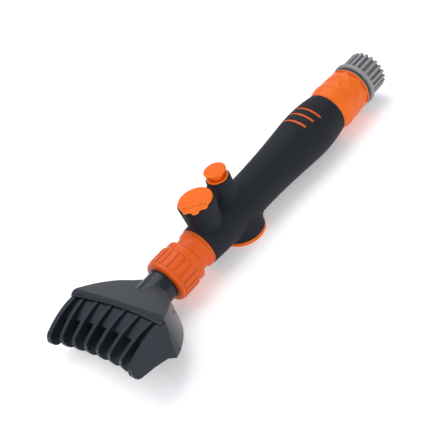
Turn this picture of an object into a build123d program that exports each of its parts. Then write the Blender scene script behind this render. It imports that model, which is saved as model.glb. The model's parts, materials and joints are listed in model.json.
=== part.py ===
from build123d import *
import math
import os

# Hand-held comb-head spray wand that rinses pleated filter cartridges.
# Stations along the wand are measured from the union flange of the handle, +X towards the hose,
# and the finished pieces are shifted so that the centre of the hose mouth is the origin.
# +Z points to the detergent cap and the push button. The comb head hangs rolled about X.

# ---------------------------------------------------------------- driving dimensions (mm)
HOSE_REACH = 226.0          # union flange to the hose mouth
GRIP_END = 164.5            # rear end of the soft grip
SKIN = 3.0                  # thickness of the soft grip over the hard core
RUN = 0.06                  # radial clearance of a running fit
GAP = 0.3                   # free gap between bodies

BORE_R = 6.5                # water way through the core
FLANGE_R = 16.0             # orange flange in front of the grip
THREAD_R = 14.6             # plain cylinder that stands for the union thread
NOSE_X = -31.8              # front end of the core's threaded nose

FILLER_X = 14.6             # axis of the detergent filler tube
FILLER_TOP = 33.6
FILLER_R = 14.6             # soft skin radius at the mouth of the filler tube
TANK_R = 11.0
TANK_FLOOR = 9.6

VALVE_X = 43.1              # axis of the rotary flow valve and its dial
DIAL_R = 17.9
DIAL_BOTTOM = -23.4
BOSS_BOTTOM = -19.5
ROTOR_R = 10.0

BUTTON_X = 41.1             # axis of the push button
TUBE_TOP = 34.9             # top of the button tube
TUBE_R = 9.7
BUTTON_R = 8.9
BUTTON_TOP = 42.7
STEM_R = 5.4                # stem of the push button

SLEEVE_FRONT = 165.1
SLEEVE_REAR = 200.3
NUT_RIBS = 22
UNION_FLUTES = 20

HEAD_ROLL = -9.23           # roll of the comb head about X, degrees
NECK_R = 13.0
RIDGE_X = -77.0             # middle of the ridge line of the comb head
RIDGE_Z = 17.8
RIDGE_HALF = 56.3           # half width of the ridge
RIDGE_SAG = 3.7             # how far the ends of the ridge lie ahead of its middle
FACE_SLOPE = 0.30           # fall of the top face towards the neck
HEAD_BOTTOM = -12.0
WALL = 2.4                  # wall of the moulded head
DRAFT = 3.2                 # how much narrower the head is at its bottom, each side
DRAFT_ANGLE = math.degrees(math.atan(DRAFT / (RIDGE_Z - HEAD_BOTTOM)))
INNER_TINES = 6
TINE_PITCH = 17.3
TINE_WIDE = 3.6
NOSE_REACH = 3.6            # how far the rounded ridge lip stands ahead of the ridge
NOSE_LOW = 13.4             # underside of the ridge lip
PANEL_DEPTH = 19.6          # how far the panels between the tines run ahead of the ridge
TINE_CONVERGE = 0.0037      # turn of a tine, as a slope, for each mm from the middle
END_WIDE = 5.0              # thickness of the outer tines
END_PLATE_TURN = 2.8        # turn of the outer tines, degrees
PLATE_REAR = 0.9            # how far the outer tines run back past their seats
LIP_BITE = 0.9              # how far the ridge lip runs into the shell behind the ridge

os.makedirs("parts", exist_ok=True)


# ---------------------------------------------------------------- helpers
def put(name, *solids):
    """Write the solids of one node, moved so that the hose mouth is the origin."""
    moved = [Pos(-HOSE_REACH, 0, 0) * s for s in solids]
    flat = [s for m in moved for s in m.solids()]
    export_step(flat[0] if len(flat) == 1 else Compound(children=flat), f"parts/{name}.step")


def rod_x(r, x0, x1, y=0.0, z=0.0):
    """Cylinder along X from x0 to x1."""
    return Pos((x0 + x1) / 2, y, z) * Rot(0, 90, 0) * Cylinder(r, x1 - x0)


def rod_z(r, z0, z1, x=0.0, y=0.0):
    """Cylinder along Z from z0 to z1."""
    return Pos(x, y, (z0 + z1) / 2) * Cylinder(r, z1 - z0)


def ring_x(r_out, r_in, x0, x1):
    return rod_x(r_out, x0, x1) - rod_x(r_in, x0 - 1, x1 + 1)


def ring_z(r_out, r_in, z0, z1, x=0.0):
    return rod_z(r_out, z0, z1, x) - rod_z(r_in, z0 - 1, z1 + 1, x)


def turned_x(points):
    """Solid of revolution about X from a closed outline of (x, r) points."""
    outline = Polyline(*[(x, r, 0) for x, r in points], close=True)
    return revolve(make_face(outline), Axis.X, 360)


def turned_z(points, x=0.0):
    """Solid of revolution about a vertical axis at x from (r, z) points."""
    outline = Polyline(*[(r, 0, z) for r, z in points], close=True)
    return Pos(x, 0, 0) * revolve(make_face(outline), Axis.Z, 360)


def o_ring_x(r_mid, r_wire, x):
    return Pos(x, 0, 0) * Rot(0, 90, 0) * Torus(r_mid, r_wire)


def coil(r, wire, length, turns):
    """Round-wire spring standing on z = 0."""
    path = Helix(pitch=(length - 2 * wire) / turns, height=length - 2 * wire, radius=r)
    start = Plane(origin=path @ 0, z_dir=path % 0)
    return Pos(0, 0, wire) * sweep(start * Circle(wire), path=path)


def grip_profile(inset, x0, x1):
    """Body of revolution under the hand, the given inset below the outer surface."""
    stations = [(0, 16.4), (15, 17.3), (60, 17.2), (80, 17.6), (104, 18.9), (124, 20.5),
                (138, 21.2), (150, 20.7), (158, 19.8), (GRIP_END, 18.6)]
    line = Spline(*[(x, r - inset, 0) for x, r in stations])
    first = line @ 0
    last = line @ 1
    sides = Polyline(last, (last.X, 0, 0), (first.X, 0, 0), first)
    body = revolve(make_face([line, *sides.edges()]), Axis.X, 360)
    return body & rod_x(40, x0, x1)


def blended(shape, branch, radius):
    """Join a branch to a shape and round the edge where they meet."""
    joined = shape + branch
    return fillet(new_edges(shape, branch, combined=joined), radius)


# ---------------------------------------------------------------- soft grip envelope
def grip_envelope():
    """Outside of the soft grip: main body, filler tube, button tube and valve boss."""
    body = grip_profile(0, 0.2, GRIP_END)
    filler = turned_z([(0, 0), (12.6, 0), (13.2, 15), (FILLER_R, FILLER_TOP), (0, FILLER_TOP)],
                      FILLER_X)
    button = rod_z(TUBE_R, 0, TUBE_TOP - 0.3, BUTTON_X)
    boss = turned_z([(0, BOSS_BOTTOM), (18.2, BOSS_BOTTOM), (16.9, 0), (0, 0)], VALVE_X)
    body = blended(body, boss, 6.0)
    body = blended(body, button, 4.0)
    return blended(body, filler, 2.0)


def stripe_solids():
    """Three wrapped bars with round ends, for the colour stripes let into the grip."""
    section = Polyline((-1.1, 14, 0), (1.1, 14, 0), (1.1, 26, 0), (-1.1, 26, 0), close=True)
    bars = []
    for x, reach in ((128.6, 34), (136.9, 38), (144.3, 43)):
        # the swept rectangle starts at +Y, so it is turned back to straddle +Z
        bar = Pos(x, 0, 0) * Rot(90 - reach, 0, 0) * revolve(make_face(section), Axis.X, 2 * reach)
        for side in (-1, 1):
            bar += Rot(side * reach, 0, 0) * rod_z(1.1, 14, 26, x)
        bars.append(bar)
    return bars


# ---------------------------------------------------------------- handle core
def make_handle():
    outer = grip_envelope()

    # hard core: front nose and collar, main tube, filler tube, button tube and valve housing
    nose = turned_x([(NOSE_X, 0), (NOSE_X, 12.8), (NOSE_X + 1.2, THREAD_R), (-13.4, THREAD_R),
                     (-12.6, 14.2), (-8.0, 14.2), (-6.0, 14.6), (-4.6, 15.6), (-4.0, FLANGE_R),
                     (-2.4, FLANGE_R), (-2.2, 15.6), (-1.8, 15.6), (-1.6, FLANGE_R),
                     (0.2, FLANGE_R), (0.2, 0)])
    tube = grip_profile(SKIN, 0, GRIP_END)
    core = nose + tube
    core += rod_z(TANK_R + 1.6, 0, FILLER_TOP + GAP - 0.1, FILLER_X)
    core += rod_z(8.4, 0, TUBE_TOP - 0.3, BUTTON_X)
    core += rod_z(14.8, BOSS_BOTTOM, 0, VALVE_X)

    bars = stripe_solids()
    inset_skin = grip_profile(0.35, 110, 160)
    for bar in bars:
        core += bar & inset_skin

    # grip: the envelope with the core's own outside taken out of it
    grip = outer - core
    for bar in bars:
        grip -= bar

    # water way, valve seat and retainer recess
    core -= rod_x(BORE_R, NOSE_X - 1, 141)
    core -= rod_x(8.4, NOSE_X - 1, -20)
    core -= rod_z(ROTOR_R + RUN, BOSS_BOTTOM - 1, 9.2, VALVE_X)
    core -= rod_z(12.6, BOSS_BOTTOM - 1, -16.2, VALVE_X)
    # detergent tank, button chamber and the passages between them and the water way
    core -= rod_z(TANK_R, TANK_FLOOR, FILLER_TOP + 1, FILLER_X)
    core -= rod_z(7.6, 20.0, TUBE_TOP + 1, BUTTON_X)
    core -= rod_z(6.0, 18.0, 21.0, BUTTON_X)
    core -= rod_z(4.5, 10.6, 19.0, BUTTON_X)
    core -= rod_x(1.4, 24.0, 36.0, 0, 23.0)
    core -= rod_x(1.2, 28.0, 38.0, 0, 13.0)
    core -= rod_z(1.2, 4.0, 13.0, 29.2)
    # socket for the hose nipple
    core -= rod_x(10.4, 140, GRIP_END + 1)
    core -= rod_x(12.6, 159.5, GRIP_END + 1)

    put("core_body", core)
    put("grip_overmould", grip)


# ---------------------------------------------------------------- flow valve
def make_flow_valve():
    rotor = rod_z(ROTOR_R, -16.0, 9.0, VALVE_X) + rod_z(8.4, BOSS_BOTTOM, -15.9, VALVE_X)
    rotor += Pos(VALVE_X, 0, BOSS_BOTTOM - 1.2) * Box(7.0, 7.0, 2.6)
    rotor -= rod_x(BORE_R, VALVE_X - 20, VALVE_X + 20)
    rotor -= rod_z(1.3, -25, -9.0, VALVE_X)
    for z in (7.6, -10.4):
        rotor -= ring_z(ROTOR_R + 1, 8.7, z - 0.7, z + 0.7, VALVE_X)
    put("flow_rotor", rotor)
    put("rotor_orings", *[ring_z(ROTOR_R + 0.02, 8.75, z - 0.6, z + 0.6, VALVE_X)
                          for z in (7.6, -10.4)])

    retainer = ring_z(12.6, 8.4 + RUN, BOSS_BOTTOM + 0.3, -16.25, VALVE_X)
    for k in range(2):
        retainer -= rod_z(0.9, -20, -17.6, VALVE_X + 10.6 * (1 - 2 * k))
    put("rotor_retainer", retainer)

    # dial: dished disc with a finger bar across it and a square socket
    top = BOSS_BOTTOM - GAP
    floor = DIAL_BOTTOM + 1.5
    dial = turned_z([(0, top), (DIAL_R - 1.0, top), (DIAL_R, top - 0.7), (DIAL_R, DIAL_BOTTOM + 0.7),
                     (DIAL_R - 0.7, DIAL_BOTTOM), (DIAL_R - 2.4, DIAL_BOTTOM),
                     (DIAL_R - 3.4, floor), (0, floor)], VALVE_X)
    bar = Pos(VALVE_X, 0, (DIAL_BOTTOM + floor) / 2) * Box(2 * DIAL_R - 5.2, 6.4, 1.5)
    dial += fillet(bar.edges().group_by(Axis.Z)[0], 0.5)
    dial -= Pos(VALVE_X, 0, top - 1.0) * Box(7.1, 7.1, 2.4)
    dial -= rod_z(1.6, -25, -19, VALVE_X)
    dial -= rod_z(3.1, -25, DIAL_BOTTOM + 0.8, VALVE_X)
    put("flow_dial", dial)

    screw = rod_z(2.8, DIAL_BOTTOM + 0.1, DIAL_BOTTOM + 0.8, VALVE_X)
    screw += rod_z(1.3, DIAL_BOTTOM + 0.7, -13.0, VALVE_X)
    for angle in (0, 90):
        screw -= Pos(VALVE_X, 0, DIAL_BOTTOM + 0.2) * Rot(0, 0, angle) * Box(3.2, 0.6, 0.6)
    put("dial_screw", screw)


# ---------------------------------------------------------------- detergent button
def make_button():
    ring_inner = STEM_R + 1.5
    bushing = turned_z([(STEM_R + RUN, 29.8), (7.55, 29.8), (7.55, TUBE_TOP), (8.7, TUBE_TOP),
                        (8.7, 35.6), (8.4, 35.9), (ring_inner + 0.3, 35.9), (ring_inner, 35.6),
                        (ring_inner, 34.6), (STEM_R + RUN, 34.6)], BUTTON_X)
    bushing -= ring_z(STEM_R + 0.75, 5.0, 31.8, 33.2, BUTTON_X)
    put("button_bushing", bushing)
    put("button_oring", ring_z(STEM_R + 0.7, STEM_R + RUN / 2, 31.9, 33.1, BUTTON_X))

    # mushroom head on a straight stem, held by a flange below the bushing
    button = turned_z([(0, 28.0), (7.3, 28.0), (7.3, 29.5), (STEM_R, 29.5), (STEM_R, 40.1),
                       (6.2, 40.6), (8.3, 40.9), (BUTTON_R, 41.3), (BUTTON_R - 0.1, 42.1),
                       (BUTTON_R - 0.9, BUTTON_TOP), (6.4, BUTTON_TOP - 0.1),
                       (0, BUTTON_TOP - 0.7)], BUTTON_X)
    button -= rod_z(1.5, 26, 33, BUTTON_X)
    put("push_button", button)

    poppet = rod_z(1.5, 16.6, 33, BUTTON_X)
    poppet += turned_z([(0, 15.0), (2.6, 15.0), (3.5, 15.8), (3.5, 17.0), (0, 17.0)], BUTTON_X)
    put("detergent_poppet", poppet)
    put("poppet_seal", ring_z(3.4, 1.5, 17.0, 17.9, BUTTON_X))
    put("poppet_seat", ring_z(6.0, 1.5 + 0.6, 18.0, 20.0, BUTTON_X))
    put("button_spring", Pos(BUTTON_X, 0, 20.05) * coil(4.4, 0.45, 7.9, 4))


# ---------------------------------------------------------------- filler cap
def make_filler_cap():
    z0 = FILLER_TOP + GAP
    z1 = 35.9
    cap_r = 13.7
    disc = turned_z([(0, z0), (cap_r - 0.3, z0), (cap_r, z0 + 0.3), (cap_r, z1 - 0.5),
                     (cap_r - 0.6, z1), (cap_r - 2.4, z1), (cap_r - 3.2, z1 - 0.2),
                     (0, z1 - 0.35)], 0)
    # chord step on the near side, with a lobed thumb tab standing out of the rim
    step_z = z1 - 1.15
    disc -= Pos(0, -13.2, step_z + 5) * Box(18.4, 13.4, 10)
    tab = rod_z(3.2, z0, step_z, 0, -12.9)
    for side in (-1, 1):
        tab += rod_z(2.4, z0, step_z, side * 7.2, -10.2)
        tab += Pos(side * 4.0, -10.6, (z0 + step_z) / 2) * Rot(0, 0, side * 12) * Box(5, 4.4, step_z - z0)
    disc += tab
    plug = turned_z([(0, 26.8), (9.6, 26.8), (10.6, 27.6), (10.6, z0 + 0.1), (0, z0 + 0.1)])
    plug -= ring_z(11.2, 9.4, 29.0, 31.0)
    plug -= rod_z(8.2, 20, 32.0)
    cap = Pos(FILLER_X, 0, 0) * Rot(0, 0, -48) * (disc + plug)
    put("filler_cap", cap)
    put("cap_gasket", ring_z(TANK_R - 0.03, 9.45, 29.2, 30.8, FILLER_X))


# ---------------------------------------------------------------- union nut
def make_union_nut():
    nut = turned_x([(-39.9, NECK_R + 0.1), (-39.9, 15.7), (-39.5, 16.9), (-38.6, 17.8),
                    (-37.2, 18.1), (-36.0, 17.8), (-21.4, 17.8), (-20.2, 17.0), (-18.6, 17.0),
                    (-17.8, 17.5), (-14.8, 17.6),
                    (-14.1, 17.0), (-14.1, THREAD_R + 0.1), (-36.4, THREAD_R + 0.1),
                    (-36.4, NECK_R + 0.1)])
    # broad rounded ribs with narrow grooves between them
    rib = Pos(-28.8, 0, 17.6) * Box(15.0, 4.0, 1.8)
    rib = fillet(rib.edges().group_by(Axis.Z)[-1], 0.75)
    for k in range(UNION_FLUTES):
        nut += Rot(k * 360 / UNION_FLUTES, 0, 0) * rib
    put("union_nut", nut)


# ---------------------------------------------------------------- comb head
def arc_y(x_mid, half, sag, z=0.0):
    """Shallow arc across the head, its ends ahead of its middle by sag."""
    return ThreePointArc((x_mid - sag, -half, z), (x_mid, 0, z), (x_mid - sag, half, z))


def fan_outline(inset=0.0):
    """Plan of the fan-shaped head behind the ridge."""
    half = RIDGE_HALF - inset
    ridge = arc_y(RIDGE_X, half, RIDGE_SAG)
    corner = RIDGE_X - RIDGE_SAG
    side_l = ThreePointArc((corner, half, 0), (-65.0 - 0.7 * inset, 44.5 - 0.7 * inset, 0),
                           (-51.5 - inset, 22.0 - inset, 0))
    side_r = ThreePointArc((corner, -half, 0), (-65.0 - 0.7 * inset, -44.5 + 0.7 * inset, 0),
                           (-51.5 - inset, -22.0 + inset, 0))
    neck = Polyline((-51.5 - inset, 22.0 - inset, 0), (-46.5 - inset, 11.0 - inset, 0),
                    (-46.5 - inset, -11.0 + inset, 0), (-51.5 - inset, -22.0 + inset, 0))
    return make_face([ridge, side_l, *neck.edges(), side_r])


def behind_ridge(shift):
    """Everything on the neck side of the ridge line, moved towards the neck by shift."""
    wide = RIDGE_HALF + 10
    front = arc_y(RIDGE_X + shift, wide, RIDGE_SAG * (wide / RIDGE_HALF) ** 2)
    rest = Polyline(front @ 1, (-20, wide, 0), (-20, -wide, 0), front @ 0)
    return Pos(0, 0, -60) * extrude(make_face([front, *rest.edges()]), 120)


def under_face(drop):
    """Everything below the sloping top face, lowered by drop."""
    slope = math.degrees(math.atan(FACE_SLOPE))
    block = Pos(0, 0, -100) * Box(300, 300, 200)
    return Pos(RIDGE_X, 0, RIDGE_Z - drop) * Rot(0, slope, 0) * block


def outer_hull():
    """Outside of the fan-shaped head behind the ridge, drafted towards its bottom."""
    hull = Pos(0, 0, HEAD_BOTTOM) * extrude(fan_outline(DRAFT), 30, taper=-DRAFT_ANGLE)
    return hull & under_face(0) & behind_ridge(0)


def rolled(solid):
    return Rot(HEAD_ROLL, 0, 0) * solid


def ridge_lip():
    """Rounded lip along the ridge, standing over the tines and the panels between them."""
    front = arc_y(RIDGE_X - NOSE_REACH, RIDGE_HALF, RIDGE_SAG)
    back = arc_y(RIDGE_X + LIP_BITE, RIDGE_HALF - 0.6, RIDGE_SAG)
    plan = make_face([front, Line(front @ 1, back @ 1), back, Line(back @ 0, front @ 0)])
    lip = Pos(0, 0, NOSE_LOW) * extrude(plan, RIDGE_Z - NOSE_LOW)
    upper = lip.edges().filter_by(GeomType.CIRCLE).group_by(Axis.Z)[-1].sort_by(Axis.X)[0]
    return fillet(upper, 3.0) & under_face(0)


def make_head():
    # shell: sloping top face, curved side wall and the round neck running into the face
    hull = outer_hull()
    neck = rod_x(NECK_R, -64, -39) + rod_x(NECK_R, -39.1, -36.3)
    collar = rod_x(THREAD_R - 0.3, -36.3, -33.9) + rod_x(8.3, -34, -23.0)
    shell = hull + (neck - (Pos(0, 0, HEAD_BOTTOM - 10) * Box(300, 60, 20)))
    shell += collar
    pocket = Pos(0, 0, HEAD_BOTTOM - 1) * extrude(fan_outline(DRAFT + WALL), 31, taper=-DRAFT_ANGLE)
    pocket = pocket & under_face(WALL)
    lip_back = Pos(0, 0, NOSE_LOW) * extrude(fan_outline(), 20) - behind_ridge(3.0)
    shell -= pocket - lip_back
    shell += ridge_lip()
    shell -= rod_x(6.0, -62, -20)
    shell -= ring_x(9.5, 6.9, -27.6, -25.6)
    for side in (1, -1):
        shell -= Pos(-66.4, side * 42.6, 7.0) * Rot(0, 0, side * -46) * Box(3.4, 9.0, 1.6)
    put("head_shell", rolled(shell))
    put("neck_oring", o_ring_x(7.62, 0.68, -26.6))
    put("head_seal_washer", ring_x(THREAD_R - 0.4, 8.4, -33.85, NOSE_X - 0.05))


# ---------------------------------------------------------------- tines and their front wall
def tine_outline(end_plate):
    """Side view of one tine: front edge, blunt round tip, deep chin and rising underside."""
    if end_plate:
        top = ThreePointArc((PLATE_REAR, 0, 15.0), (-17, 0, 14.2), (-33.0, 0, 9.4))
        tip = ThreePointArc(top @ 1, (-37.3, 0, 6.6), (-38.8, 0, 2.8))
        chin = ThreePointArc(tip @ 1, (-37.4, 0, -0.8), (-33.2, 0, -2.9))
        low = ((-22.7, 0, -4.4), (-11.9, 0, -7.2), (-6.4, 0, HEAD_BOTTOM),
               (PLATE_REAR, 0, HEAD_BOTTOM))
    else:
        top = ThreePointArc((0, 0, 14.6), (-17, 0, 13.3), (-31, 0, 9.4))
        tip = ThreePointArc(top @ 1, (-34.8, 0, 7.0), (-36.2, 0, 3.2))
        chin = ThreePointArc(tip @ 1, (-35.0, 0, -1.8), (-31.0, 0, -5.4))
        low = ((-20, 0, -7.0), (-10, 0, -9.6), (-6.4, 0, HEAD_BOTTOM), (0, 0, HEAD_BOTTOM))
    under = Polyline(chin @ 1, *low, top @ 0)
    return make_face([top, tip, chin, *under.edges()])


def channel(end_plate):
    """Water channel of one tine, from inside the front wall to near the tip."""
    reach = -2.4 if end_plate else 0.0
    side = Polyline((-4, 0, -0.6), (-8, 0, -0.4), (-12, 0, 1.4), (-16, 0, 3.2), (-20, 0, 5.6),
                    (-28 + reach, 0, 6.0), (-32.8 + reach, 0, 4.6), (-33.4 + reach, 0, 1.4),
                    (-30 + reach, 0, -0.4), (-12, 0, -4.4), (-4, 0, -5.0), close=True)
    return Pos(0, 0.7, 0) * extrude(make_face(side), 1.4, dir=(0, -1, 0))


def rear_facet(side):
    """What is cut off the rear lower corner of an outer tine, to meet the shell's drafted side."""
    face_y = side * END_WIDE / 2
    toe = Vector(-6.4, face_y, HEAD_BOTTOM)
    top = Vector(PLATE_REAR, face_y, 15.0)
    heel = Vector(PLATE_REAR, face_y - side * 3.3, HEAD_BOTTOM)
    normal = (top - toe).cross(heel - toe).normalized()
    if normal.Y * side < 0:
        normal = -normal
    return Plane(origin=toe, x_dir=top - toe, z_dir=normal) * Pos(0, 0, 20) * Box(120, 120, 40)


def tine(side):
    """Hollow blade with a jet slot in its tip. side is 0 for an inner tine, 1 or -1 at the ends."""
    reach = -2.4 if side else 0.0
    wide = END_WIDE if side else TINE_WIDE
    blade = Pos(0, wide / 2, 0) * extrude(tine_outline(side), wide, dir=(0, -1, 0))
    if side:
        blade -= rear_facet(side)
    jet = Pos(-35 + reach, 0, 4.6) * Rot(0, -35, 0) * Box(8, 1.4, 2.6)
    return blade - channel(side) - jet


def ridge_at(y):
    """Station of the ridge line at the given side distance."""
    return RIDGE_X - RIDGE_SAG * (y / RIDGE_HALF) ** 2


def make_comb():
    seats = []
    for k in range(INNER_TINES):
        y = ((INNER_TINES - 1) / 2 - k) * TINE_PITCH
        turn = math.degrees(math.atan(y * TINE_CONVERGE))
        seats.append((Pos(ridge_at(y) - 1.6, y, 0) * Rot(0, 0, turn), 0))
    for side in (1, -1):
        y = side * (RIDGE_HALF - END_WIDE / 2 + 0.2)
        turn = side * END_PLATE_TURN
        seats.insert(0 if side > 0 else len(seats),
                     (Pos(ridge_at(y) - 0.6, y, 0) * Rot(0, 0, turn), side))

    # front wall: sloping panel behind the tines, closed below, hollow towards the shell
    span = RIDGE_HALF - END_WIDE + 0.4
    lead = arc_y(RIDGE_X - PANEL_DEPTH, span - 1.0, RIDGE_SAG)
    back = arc_y(RIDGE_X - 0.2, span, RIDGE_SAG)
    plan = make_face([lead, Line(lead @ 1, back @ 1), back, Line(back @ 0, lead @ 0)])
    blank = Pos(0, 0, HEAD_BOTTOM) * extrude(plan, 40)
    section = Polyline((RIDGE_X + 6, 0, NOSE_LOW), (RIDGE_X - 4.0, 0, NOSE_LOW),
                       (RIDGE_X - 12, 0, 12.3), (RIDGE_X - 17.1, 0, 11.2),
                       (RIDGE_X - PANEL_DEPTH - 5, 0, 8.8), (RIDGE_X - PANEL_DEPTH - 5, 0, 7.6),
                       (RIDGE_X - 9.0, 0, 1.0), (RIDGE_X - 9.4, 0, -7.6),
                       (RIDGE_X - 7.0, 0, HEAD_BOTTOM + 0.4), (RIDGE_X + 6, 0, HEAD_BOTTOM + 0.4),
                       close=True)
    web = blank & (Pos(0, 60, 0) * extrude(make_face(section), 120, dir=(0, -1, 0)))
    core_lead = arc_y(RIDGE_X - 9.6, span - 2.4, RIDGE_SAG)
    core_back = arc_y(RIDGE_X + 6, span - 2, RIDGE_SAG)
    core_plan = make_face([core_lead, Line(core_lead @ 1, core_back @ 1), core_back,
                           Line(core_back @ 0, core_lead @ 0)])
    cavity = Pos(0, 0, HEAD_BOTTOM) * extrude(core_plan, 40)
    inner = Polyline((RIDGE_X + 9, 0, 11.0), (RIDGE_X - 2, 0, 11.0), (RIDGE_X - 9.5, 0, 9.0),
                     (RIDGE_X - 6.8, 0, 2.2), (RIDGE_X - 7.2, 0, -6.8), (RIDGE_X - 5, 0, -9.4),
                     (RIDGE_X + 9, 0, -9.4), close=True)
    cavity = cavity & (Pos(0, 60, 0) * extrude(make_face(inner), 120, dir=(0, -1, 0)))
    # each tine is a fork that straddles the front wall; its water channel goes through the wall
    wall = web - cavity
    hull, lip = outer_hull(), ridge_lip()
    for k, (place, side) in enumerate(seats):
        put(f"tine_{k + 1}", rolled(place * tine(side) - web - hull - lip))
        wall -= place * channel(side)
    put("comb_web", rolled(wall))


def make_base_cover():
    """Cover snapped into the open underside of the head, on two latch arms."""
    plate = Pos(0, 0, HEAD_BOTTOM) * extrude(fan_outline(DRAFT + WALL + 0.15), 1.8)
    for side in (1, -1):
        arm = Pos(-70.2, side * 39.2, -1.6) * Rot(0, 0, side * -46) * Box(4.2, 1.4, 18.2)
        nub = Pos(-68.3, side * 41.0, 7.0) * Rot(0, 0, side * -46) * Box(3.2, 5.0, 1.4)
        plate += arm + nub
    put("head_base_cover", rolled(plate))


# ---------------------------------------------------------------- hose connector
def make_nipple():
    nipple = turned_x([(141.2, 4.6), (141.2, 10.3), (159.6, 10.3), (159.6, 12.5), (162.6, 12.5),
                       (162.6, 9.4), (168.8, 9.4), (168.8, 7.6), (173.2, 7.6), (173.8, 9.2),
                       (175.0, 9.2), (176.4, 7.65), (187.4, 7.65), (188.0, 7.2), (188.0, 4.6)])
    nipple -= ring_x(8.2, 6.3, 181.2, 182.8)
    nipple -= ring_x(10.8, 9.1, 156.0, 158.0)
    put("inlet_nipple", nipple)
    put("nipple_oring", o_ring_x(7.0, 0.68, 182.0))
    put("nipple_seal", ring_x(10.35, 9.15, 156.1, 157.9))


def make_connector():
    body = turned_x([(166.0, 9.75), (166.0, 13.3), (177.0, 13.3), (177.0, 12.4), (198.8, 12.4),
                     (198.8, 16.9), (200.8, 16.9), (200.8, 15.7), (201.5, 15.7), (201.5, 16.9),
                     (202.3, 16.9), (202.3, 16.2), (203.0, 16.2), (203.0, 13.9), (219.0, 13.9),
                     (219.0, 12.7), (203.6, 12.7),
                     (203.6, 6.4), (206.5, 6.4), (206.5, 7.0), (209.0, 6.4), (210.0, 6.4),
                     (210.0, 7.0), (212.5, 6.4), (213.5, 6.4), (213.5, 7.0), (216.4, 6.2),
                     (216.4, 4.6), (190.0, 4.6), (190.0, 7.75), (176.8, 7.75), (175.6, 9.75)])
    for k in range(3):
        window = Pos(171.0, 0, 11.5) * Box(6.4, 6.6, 6.0)
        body -= Rot(k * 120, 0, 0) * window
    put("connector_body", body)

    # three claws in the windows, hooked into the groove of the nipple
    hook = Pos(170.9, 0, 10.4) * Box(3.6, 6.2, 5.4)
    hook += Pos(171.0, 0, 12.0) * Box(6.0, 6.2, 2.2)
    hook = hook & ring_x(13.2, 7.8, 160, 180)
    put("lock_claws", *[Rot(k * 120, 0, 0) * hook for k in range(3)])

    sleeve = turned_x([(SLEEVE_FRONT, 13.36), (SLEEVE_FRONT, 17.6), (166.2, 18.4), (169.6, 19.3),
                       (172.6, 20.0), (175.4, 20.15), (177.2, 19.85), (178.4, 19.65),
                       (190.0, 19.35), (196.0, 18.95), (199.6, 18.75), (SLEEVE_REAR, 18.3),
                       (SLEEVE_REAR, 17.2), (180.0, 17.2), (180.0, 13.36)])
    put("release_sleeve", sleeve)
    spring = Pos(183.3, 0, 0) * Rot(0, 90, 0) * coil(15.2, 0.6, 15.4, 5)
    put("sleeve_spring", spring)


def make_hose_nut():
    collet = turned_x([(203.7, 9.9), (203.7, 12.6), (219.6, 12.6), (221.0, 11.7), (221.0, 10.4),
                       (219.0, 9.9)])
    for k in range(6):
        slit = Pos(214.5, 0, 0) * Rot(k * 30, 0, 0) * Box(15.0, 1.3, 40)
        collet -= slit
    put("hose_collet", collet)

    nut = turned_x([(203.6, 14.0), (203.6, 19.0), (204.2, 19.6), (206.4, 19.7), (207.3, 19.0),
                    (208.4, 15.4), (225.2, 15.4), (226.0, 14.6), (226.0, 10.6), (221.4, 10.6),
                    (221.4, 12.0), (219.3, 12.9), (219.3, 14.0)])
    for k in range(NUT_RIBS):
        rib = Pos(216.4, 0, 16.0) * Box(18.0, 2.3, 3.4)
        nut += Rot(k * 360 / NUT_RIBS, 0, 0) * rib
    put("hose_nut", nut)


make_handle()
make_flow_valve()
make_button()
make_filler_cap()
make_union_nut()
make_head()
make_comb()
make_base_cover()
make_nipple()
make_connector()
make_hose_nut()
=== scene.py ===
import json
import math

import bmesh
import bpy
from mathutils import Euler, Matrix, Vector


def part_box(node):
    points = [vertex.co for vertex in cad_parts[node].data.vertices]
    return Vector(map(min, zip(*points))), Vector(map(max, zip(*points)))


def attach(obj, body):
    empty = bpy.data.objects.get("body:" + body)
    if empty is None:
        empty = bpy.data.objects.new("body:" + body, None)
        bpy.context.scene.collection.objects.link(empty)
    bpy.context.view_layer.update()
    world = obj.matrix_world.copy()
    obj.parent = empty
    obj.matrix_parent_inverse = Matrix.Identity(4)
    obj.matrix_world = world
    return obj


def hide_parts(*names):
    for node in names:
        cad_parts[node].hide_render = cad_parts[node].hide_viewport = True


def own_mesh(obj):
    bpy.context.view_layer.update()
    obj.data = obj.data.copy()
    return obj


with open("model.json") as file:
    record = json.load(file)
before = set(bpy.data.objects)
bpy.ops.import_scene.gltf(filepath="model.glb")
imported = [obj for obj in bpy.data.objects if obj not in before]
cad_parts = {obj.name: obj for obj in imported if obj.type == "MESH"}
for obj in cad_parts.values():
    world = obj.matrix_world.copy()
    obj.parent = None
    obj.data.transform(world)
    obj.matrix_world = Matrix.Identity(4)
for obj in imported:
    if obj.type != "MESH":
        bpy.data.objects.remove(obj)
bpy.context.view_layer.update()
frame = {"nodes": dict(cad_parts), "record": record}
NODES = frame["nodes"]

# Camera at the photograph's viewing angle, in the CAD's frame: metres and degrees.
CAMERA_AT = (-0.51573, -0.49394, 0.45163)
CAMERA_TURN = (50.2333, 19.859, -48.2733)
LENS_MM = 81.44
SENSOR_MM = 36.0
CLIP_START = 0.01


def new_object(name, data):
    obj = bpy.data.objects.new(name, data)
    bpy.context.scene.collection.objects.link(obj)
    return obj


# ---------------------------------------------------------------- materials
# Noise scales, per metre.
DRIFT_SCALE = 38.0          # slow change of colour and roughness
WAVE_SCALE = 95.0           # gentle waves of a moulded face
FLOW_SCALE = 120.0          # flow lines of the moulding
EDGE_PATCH_SCALE = 260.0           # patches in the wear and painted highlight of the edges
SCUFF_SCALE = 520.0         # short scuffs
STREAK_SCALE = 900.0        # drawing marks on wire
# Scale of the noise along each axis, where it is drawn out along x.
FLOW_STRETCH = (0.25, 1, 1)
SCUFF_STRETCH = (0.3, 1, 1)
STREAK_STRETCH = (0.1, 1, 1)
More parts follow.
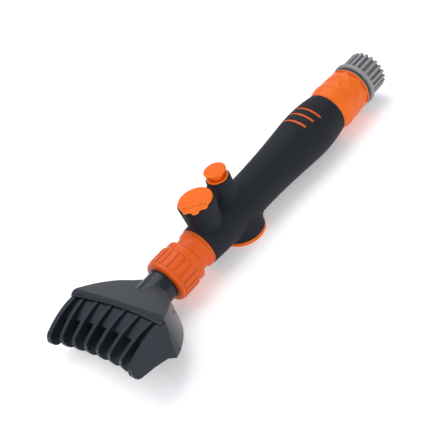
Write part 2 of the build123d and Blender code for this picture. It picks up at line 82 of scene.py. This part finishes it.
# The band of each pattern that shows. Four numbers also say what comes out at its two ends.
DRIFT_BAND = (0.3, 0.7)
FLOW_BAND = (0.35, 0.65)
EDGE_PATCH_BAND = (0.35, 0.6, 0.25, 1.0)
SCUFF_BAND = (0.58, 0.72)
STREAK_BAND = (0.3, 0.7, 0.22, 0.38)
GROOVE_BAND = (0.25, 0.85)  # how open the air is, from that in grooves to that of an open face, for the painted shade in grooves
# Depths and distances, metres.
WAVE_DEPTH = 0.00004
STREAK_DEPTH = 0.00001
GROOVE_REACH = 0.0022       # how near another face has to be for painted shade in grooves
# Shades, as parts of the plastic's own colour, and strengths.
# paler edges, partly wear and partly painted highlight, as a part of the plastic's own colour
WEAR_AND_HIGHLIGHT_SHADE = 1.25
# painted shade in grooves, as a part of the plastic's own colour
GROOVE_SHADE = 0.12
FLOW_MIX = 0.25
WAVE_STRENGTH = 0.5
# Roughness.
ROUGH_DRIFT = 0.04          # either way, with the slow drift
RUB_ROUGH = 0.25            # added where an edge is rubbed
COAT_ROUGH = 0.12
SHEEN_ROUGH = 0.5
# Edges.
SOFT_EDGE = 0.6             # radius that edges are shaded with, as a part of the radius of the paler edges
EDGE_SAMPLES = 6            # for the paler edges and the painted shade in grooves
SOFT_SAMPLES = 4


class Shader:
    """A material and short calls for its nodes."""

    def __init__(self, name):
        self.mat = bpy.data.materials.new(name)
        self.mat.use_nodes = True
        self.tree = self.mat.node_tree
        self.bsdf = self.tree.nodes["Principled BSDF"]
        self.place = self.add("ShaderNodeTexCoord").outputs["Object"]

    def add(self, kind, inputs=(), **props):
        node = self.tree.nodes.new(kind)
        for key, value in props.items():
            setattr(node, key, value)
        for key, value in dict(inputs).items():
            self.put(node.inputs[key], value)
        return node

    def put(self, socket, value):
        if isinstance(value, bpy.types.NodeSocket):
            self.tree.links.new(value, socket)
        else:
            socket.default_value = value

    def set(self, name, value):
        self.put(self.bsdf.inputs[name], value)

    def noise(self, scale, detail=3.0, rough=0.5, stretch=(1, 1, 1)):
        where = self.place
        if stretch != (1, 1, 1):
            where = self.add("ShaderNodeMapping", {"Vector": where, "Scale": stretch}).outputs[0]
        node = self.add("ShaderNodeTexNoise", {"Vector": where, "Scale": scale, "Detail": detail,
                                               "Roughness": rough})
        return node.outputs["Fac"]

    def ramp(self, fac, low, high, out_low=0.0, out_high=1.0):
        node = self.add("ShaderNodeMapRange", {"Value": fac, "From Min": low, "From Max": high,
                                               "To Min": out_low, "To Max": out_high})
        return node.outputs[0]

    def mix(self, fac, a, b):
        node = self.add("ShaderNodeMix", data_type="RGBA")
        self.put(node.inputs[0], fac)
        self.put(node.inputs[6], a)
        self.put(node.inputs[7], b)
        return node.outputs[2]

    def math(self, what, a, b=0.0):
        node = self.add("ShaderNodeMath", operation=what)
        self.put(node.inputs[0], a)
        self.put(node.inputs[1], b)
        return node.outputs[0]

    def edges(self, radius, low, high):
        """0 on faces, 1 on edges. low and high bound one less the cosine of the bend."""
        bevel = self.add("ShaderNodeBevel", {"Radius": radius}, samples=EDGE_SAMPLES)
        true = self.add("ShaderNodeNewGeometry").outputs["Normal"]
        dot = self.add("ShaderNodeVectorMath", operation="DOT_PRODUCT")
        self.put(dot.inputs[0], bevel.outputs[0])
        self.put(dot.inputs[1], true)
        return self.ramp(dot.outputs["Value"], 1.0 - low, 1.0 - high)

    def bump(self, height, depth, strength=1.0, normal=None):
        ins = {"Height": height, "Distance": depth, "Strength": strength}
        node = self.add("ShaderNodeBump", ins)
        if normal is not None:
            self.put(node.inputs["Normal"], normal)
        return node.outputs[0]


def rgb(r, g, b):
    return (r, g, b, 1.0)


def scaled(colour, k):
    return tuple(c * k for c in colour[:3]) + (1.0,)


def moulded(name, colour, rough, drift=0.06, grain=1800.0, grain_depth=0.00002, wear_and_highlight=0.35,
            worn_and_highlight_colour=None, specular=0.5, coat=0.0, edge=0.0007, sheen=0.0, painted_groove_shade=0.45,
            scuffs=0.08, tint=rgb(1.0, 1.0, 1.0), keen=(0.02, 0.25)):
    """Moulded plastic: the colour drifts slowly, flow lines show faintly, edges are rubbed paler
    and rougher, the paler edges being partly wear and partly painted highlight, and grooves get
    painted shade. edge is the radius of the paler edges in metres, and keen is how sharp they
    are, as edges() takes it."""
    s = Shader(name)
    worn_and_highlight_colour = worn_and_highlight_colour or scaled(colour, WEAR_AND_HIGHLIGHT_SHADE)
    slow = s.ramp(s.noise(DRIFT_SCALE, 4.0, 0.55), *DRIFT_BAND)
    flow = s.ramp(s.noise(FLOW_SCALE, 2.0, 0.5, FLOW_STRETCH), *FLOW_BAND)
    body = s.mix(slow, scaled(colour, 1 - drift), scaled(colour, 1 + drift))
    body = s.mix(s.math("MULTIPLY", flow, FLOW_MIX), body, scaled(colour, 1 - 2 * drift))
    patches = s.ramp(s.noise(EDGE_PATCH_SCALE, 3.0), *EDGE_PATCH_BAND)
    # Paler, rougher edges: partly wear, partly painted highlight.
    wear_and_highlight_mask = s.math("MULTIPLY", s.math("MULTIPLY", s.edges(edge, *keen), patches), wear_and_highlight)
    # Painted shade: grooves go darker toward GROOVE_SHADE where other faces are near.
    air = s.add("ShaderNodeAmbientOcclusion", {"Distance": GROOVE_REACH}, samples=EDGE_SAMPLES)
    painted_groove_shade_mask = s.ramp(air.outputs["AO"], *GROOVE_BAND, painted_groove_shade, 0.0)
    s.set("Base Color", s.mix(painted_groove_shade_mask, s.mix(wear_and_highlight_mask, body, worn_and_highlight_colour), scaled(colour, GROOVE_SHADE)))
    scuff = s.ramp(s.noise(SCUFF_SCALE, 5.0, 0.6, SCUFF_STRETCH), *SCUFF_BAND)
    even = s.ramp(slow, 0.0, 1.0, rough - ROUGH_DRIFT, rough + ROUGH_DRIFT)
    scuffed = s.math("ADD", even, s.math("MULTIPLY", scuff, scuffs))
    s.set("Roughness", s.math("ADD", scuffed, s.math("MULTIPLY", wear_and_highlight_mask, RUB_ROUGH)))
    s.set("Specular IOR Level", specular)
    s.set("Specular Tint", tint)
    if coat:
        s.set("Coat Weight", coat)
        s.set("Coat Roughness", COAT_ROUGH)
    if sheen:
        s.set("Sheen Weight", sheen)
        s.set("Sheen Roughness", SHEEN_ROUGH)
    soft = s.add("ShaderNodeBevel", {"Radius": edge * SOFT_EDGE}, samples=SOFT_SAMPLES).outputs[0]
    wavy = s.bump(s.noise(WAVE_SCALE, 2.0), WAVE_DEPTH, WAVE_STRENGTH, soft)
    s.set("Normal", s.bump(s.noise(grain, 2.0, 0.6), grain_depth, 1.0, wavy))
    return s.mat


def steel(name):
    """Drawn steel wire."""
    s = Shader(name)
    streak = s.noise(STREAK_SCALE, 3.0, 0.6, STREAK_STRETCH)
    s.set("Base Color", s.mix(streak, rgb(0.45, 0.45, 0.46), rgb(0.62, 0.62, 0.63)))
    s.set("Metallic", 1.0)
    s.set("Roughness", s.ramp(streak, *STREAK_BAND))
    s.set("Normal", s.bump(streak, STREAK_DEPTH))
    return s.mat


# On the three oranges the paler edges are partly wear and partly painted highlight, along chord
# steps, rims, ribs and the sleeve's facet creases; the darker grooves of each moulded material
# are painted shade.
MATERIALS = {
    "orange": moulded("orange_plastic", rgb(0.82, 0.132, 0.004), 0.38, specular=0.16, wear_and_highlight=0.95,
                      worn_and_highlight_colour=rgb(1.0, 0.40, 0.08), painted_groove_shade=0.10, edge=0.0013),
    "facet_orange": moulded("facet_orange_plastic", rgb(0.80, 0.138, 0.008), 0.34, specular=0.2,
                            wear_and_highlight=0.25, worn_and_highlight_colour=rgb(0.96, 0.30, 0.07), painted_groove_shade=0.3, edge=0.0008,
                            keen=(0.0004, 0.012)),
    "deep_orange": moulded("deep_orange_plastic", rgb(0.68, 0.092, 0.006), 0.34, specular=0.25,
                           wear_and_highlight=0.8, worn_and_highlight_colour=rgb(0.98, 0.24, 0.03), painted_groove_shade=0.85, edge=0.0009),
    "black": moulded("gloss_black_plastic", rgb(0.0085, 0.0110, 0.0165), 0.29, drift=0.12,
                     coat=0.10, grain=900.0, grain_depth=0.0000015, wear_and_highlight=0.45, specular=0.32,
                     worn_and_highlight_colour=rgb(0.060, 0.068, 0.082), scuffs=0.015, painted_groove_shade=0.35,
                     tint=rgb(0.80, 0.90, 1.0)),
    "grip": moulded("soft_grip", rgb(0.0085, 0.0098, 0.0135), 0.66, drift=0.12, grain=3200.0,
                    grain_depth=0.00003, specular=0.22, sheen=0.03, wear_and_highlight=0.25,
                    tint=rgb(0.84, 0.92, 1.0)),
    "grey": moulded("grey_plastic", rgb(0.265, 0.260, 0.268), 0.46, specular=0.3, wear_and_highlight=0.5,
                    painted_groove_shade=0.9),
    "white": moulded("white_plastic", rgb(0.75, 0.74, 0.70), 0.40),
    "rubber": moulded("seal_rubber", rgb(0.02, 0.02, 0.021), 0.55),
    "dark": moulded("dark_plastic", rgb(0.025, 0.026, 0.03), 0.45),
    "steel": steel("spring_steel"),
}
BY_SLOT = {"orange": "orange", "grip": "grip", "head_black": "black", "grey": "grey",
           "inner_white": "white", "inner_black": "dark", "seal": "rubber", "steel": "steel"}
BY_NODE = {"core_body": "deep_orange", "union_nut": "deep_orange"}


def paint(obj, material):
    obj.data.materials.clear()
    obj.data.materials.append(MATERIALS[material])


slot_of = {part["node"]: part["material_slot"] for part in frame["record"]["subparts"]}
for name, obj in NODES.items():
    paint(obj, BY_NODE.get(name, BY_SLOT[slot_of[name]]))


# ---------------------------------------------------------------- faceted release sleeve
MM = 0.001
SHARP_ANGLE = 35            # degrees
COLUMNS = 9                 # facets round the sleeve in each row
FINE = 72                   # sides of its round parts, a multiple of COLUMNS
# Station behind the front edge and radius, mm.
SLEEVE_LEAD = ((0.0, 13.36), (0.0, 17.5), (0.35, 17.9), (1.1, 18.4), (4.5, 19.3), (7.5, 20.0),
               (8.9, 20.14), (10.3, 20.12), (12.1, 19.85), (12.9, 19.72))
SLEEVE_FACETS = ((12.95, 19.68), (19.6, 19.62), (26.4, 19.40), (33.1, 18.9))
SLEEVE_TAIL = ((33.15, 18.94), (34.2, 18.85), (34.9, 18.6), (35.2, 18.2), (35.2, 17.2),
               (14.9, 17.2), (14.9, 13.36))


def make_sleeve():
    """Push-back sleeve of the hose connector, with rows of flat triangular grip facets."""
    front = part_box("release_sleeve")[0].x
    bm = bmesh.new()

    def ring(point, sides, half_step=0.0):
        x, r = front + point[0] * MM, point[1] * MM
        turns = [2 * math.pi * (k + half_step) / sides for k in range(sides)]
        return [bm.verts.new((x, r * math.cos(t), r * math.sin(t))) for t in turns]

    def skin(rings):
        for a, b in zip(rings, rings[1:]):
            for k in range(FINE):
                n = (k + 1) % FINE
                bm.faces.new((a[k], a[n], b[n], b[k]))

    def collar(coarse, fine, half_step):
        """Joins the end row of facets to the round part beside it."""
        step = FINE // COLUMNS
        start = round(half_step * step)
        for k in range(COLUMNS):
            arc = [fine[(start + k * step + i) % FINE] for i in range(step, -1, -1)]
            bm.faces.new([coarse[k], coarse[(k + 1) % COLUMNS]] + arc)

    lead = [ring(p, FINE) for p in SLEEVE_LEAD]
    tail = [ring(p, FINE) for p in SLEEVE_TAIL]
    rows = [ring(p, COLUMNS, 0.5 * (i % 2)) for i, p in enumerate(SLEEVE_FACETS)]
    skin(lead)
    skin(tail)
    skin([tail[-1], lead[0]])
    collar(rows[0], lead[-1], 0.0)
    collar(rows[-1], tail[0], 0.5)
    for i, (a, b) in enumerate(zip(rows, rows[1:])):
        for k in range(COLUMNS):
            n = (k + 1) % COLUMNS
            if i % 2 == 0:
                faces = ((a[k], a[n], b[k]), (a[n], b[n], b[k]))
            else:
                faces = ((a[k], a[n], b[n]), (a[k], b[n], b[k]))
            for face in faces:
                bm.faces.new(face)
    bmesh.ops.recalc_face_normals(bm, faces=bm.faces)
    mesh = bpy.data.meshes.new("faceted_sleeve")
    bm.to_mesh(mesh)
    bm.free()
    mesh.set_sharp_from_angle(angle=math.radians(SHARP_ANGLE))
    # That call makes every face smooth. Only the round parts, which are quads, stay so.
    for face in mesh.polygons:
        face.use_smooth = len(face.vertices) == 4
    sleeve = new_object("faceted_sleeve", mesh)
    mesh.materials.append(MATERIALS["facet_orange"])
    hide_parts("release_sleeve")
    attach(sleeve, "sleeve")


def make_button_coil():
    """Return spring of the button, a copy of its CAD mesh parented to the handle."""
    coil = new_object("button_coil", NODES["button_spring"].data.copy())
    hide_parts("button_spring")
    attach(coil, "handle")
    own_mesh(coil)


make_sleeve()
make_button_coil()


# ---------------------------------------------------------------- stage
# Metres, except the glow, the world's strength and the watts of each light.
FLOOR_REACH = 3.0           # from its middle to each side
FLOOR_GAP = 0.0002          # under the lowest point of the object
FLOOR_GREY = rgb(0.93, 0.93, 0.93)
FLOOR_GLOW = 0.20
WORLD_COLOUR = rgb(0.93, 0.95, 1.0)
WORLD_STRENGTH = 0.62
AIM = (-0.17, 0.0, 0.0)     # the middle of the object, which the lights face
OVERHEAD = {"at": (-0.05, 0.40, 1.0), "size": (1.3, 1.0), "watts": 8.5}
FRONT = {"at": (-0.7, -0.9, 0.5), "size": (0.7, 0.6), "watts": 4.5}


def make_floor(z):
    bm = bmesh.new()
    bmesh.ops.create_grid(bm, x_segments=2, y_segments=2, size=FLOOR_REACH)
    mesh = bpy.data.meshes.new("floor")
    bm.to_mesh(mesh)
    bm.free()
    floor = new_object("floor", mesh)
    floor.location = (0, 0, z)
    s = Shader("pale_floor")
    s.set("Base Color", FLOOR_GREY)
    s.set("Roughness", 0.9)
    s.set("Specular IOR Level", 0.1)
    s.set("Emission Color", rgb(1.0, 1.0, 1.0))
    s.set("Emission Strength", FLOOR_GLOW)
    floor.data.materials.append(s.mat)


def softbox(name, at, size, watts):
    light = bpy.data.lights.new(name, "AREA")
    light.shape = "RECTANGLE"
    light.size, light.size_y = size
    light.energy = watts
    obj = new_object(name, light)
    obj.location = at
    obj.rotation_euler = (Vector(AIM) - Vector(at)).to_track_quat("-Z", "Y").to_euler()


def make_camera():
    data = bpy.data.cameras.new("camera")
    data.lens = LENS_MM
    data.sensor_width = SENSOR_MM
    data.clip_start = CLIP_START
    camera = new_object("camera", data)
    camera.location = CAMERA_AT
    camera.rotation_euler = Euler([math.radians(a) for a in CAMERA_TURN])
    bpy.context.scene.camera = camera


world = bpy.data.worlds.new("studio")
world.use_nodes = True
background = world.node_tree.nodes["Background"]
background.inputs["Color"].default_value = WORLD_COLOUR
background.inputs["Strength"].default_value = WORLD_STRENGTH
bpy.context.scene.world = world
bpy.context.scene.view_settings.view_transform = "Standard"

make_floor(min(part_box(n)[0].z for n in NODES) - FLOOR_GAP)
softbox("overhead", **OVERHEAD)
softbox("front", **FRONT)
make_camera()
